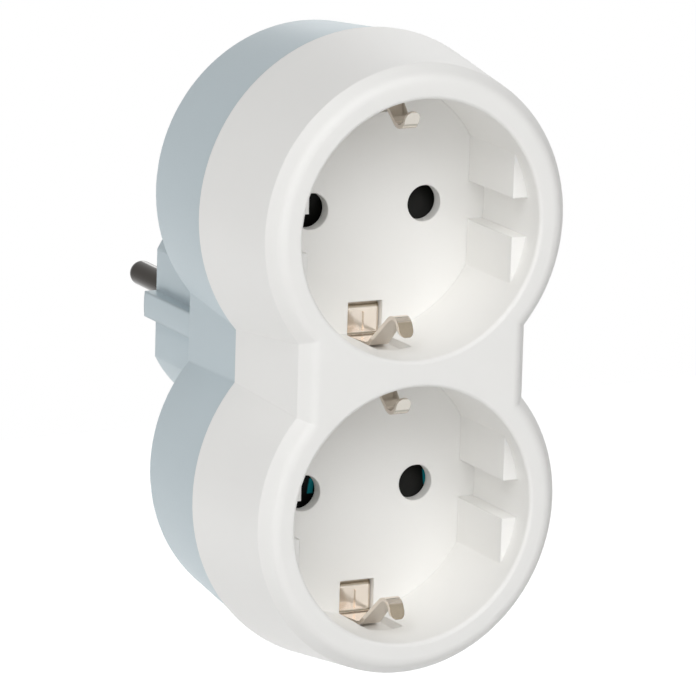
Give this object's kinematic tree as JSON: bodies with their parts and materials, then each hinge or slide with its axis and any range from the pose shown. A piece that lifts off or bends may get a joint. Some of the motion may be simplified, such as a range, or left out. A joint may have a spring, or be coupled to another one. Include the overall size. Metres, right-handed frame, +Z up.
{
  "type": "two-way socket adapter",
  "caption": "Plug-in mains adapter: figure-of-eight body with earthed round socket wells on the front, shutters behind the pin holes, and a round earthed plug at the back.",
  "frame": {"origin": "centre of the plug's face, midway between the pins", "axes": "+Y along the pins into the wall, the sockets face -Y, +Z up from the lower to the upper socket"},
  "size_m": [0.0544, 0.079, 0.098],
  "materials": {
    "white_plastic": "satin moulded",
    "grey_plastic": "satin moulded",
    "black_plastic": "matt moulded",
    "nickel_plate": "bright nickel plate",
    "brass": "stamped",
    "bright_steel": "zinc plated"
  },
  "bodies": {
    "case": {"case_screws": "bright_steel", "earth_bar": "brass", "earth_rivets": "brass", "front_shell": "white_plastic", "left_busbar": "brass", "left_plug_pin": "nickel_plate", "lower_bottom_earth_clip": "nickel_plate", "lower_contact_carrier": "black_plastic", "lower_left_contact": "brass", "lower_right_contact": "brass", "lower_shutter_spring": "bright_steel", "lower_top_earth_clip": "nickel_plate", "plug_earth_strap": "nickel_plate", "rear_shell": "grey_plastic", "right_busbar": "brass", "right_plug_pin": "nickel_plate", "upper_bottom_earth_clip": "nickel_plate", "upper_contact_carrier": "black_plastic", "upper_left_contact": "brass", "upper_right_contact": "brass", "upper_shutter_spring": "bright_steel", "upper_top_earth_clip": "nickel_plate"},
    "upper_shutter": {"upper_shutter": "black_plastic"},
    "lower_shutter": {"lower_shutter": "black_plastic"}
  },
  "joints": [
    {"name": "upper_shutter_turn", "type": "hinge", "parent": "case", "child": "upper_shutter", "pos_m": [0, -0.0382, 0.0218], "axis": [0, 1, 0], "range_deg": [0, 40], "stiffness_Nm_per_rad": 0.004, "springref_deg": -20.05, "deforming": ["upper_shutter_spring"]},
    {"name": "lower_shutter_turn", "type": "hinge", "parent": "case", "child": "lower_shutter", "pos_m": [0, -0.0382, -0.0218], "axis": [0, 1, 0], "range_deg": [0, 40], "stiffness_Nm_per_rad": 0.004, "springref_deg": -20.05, "deforming": ["lower_shutter_spring"]}
  ]
}
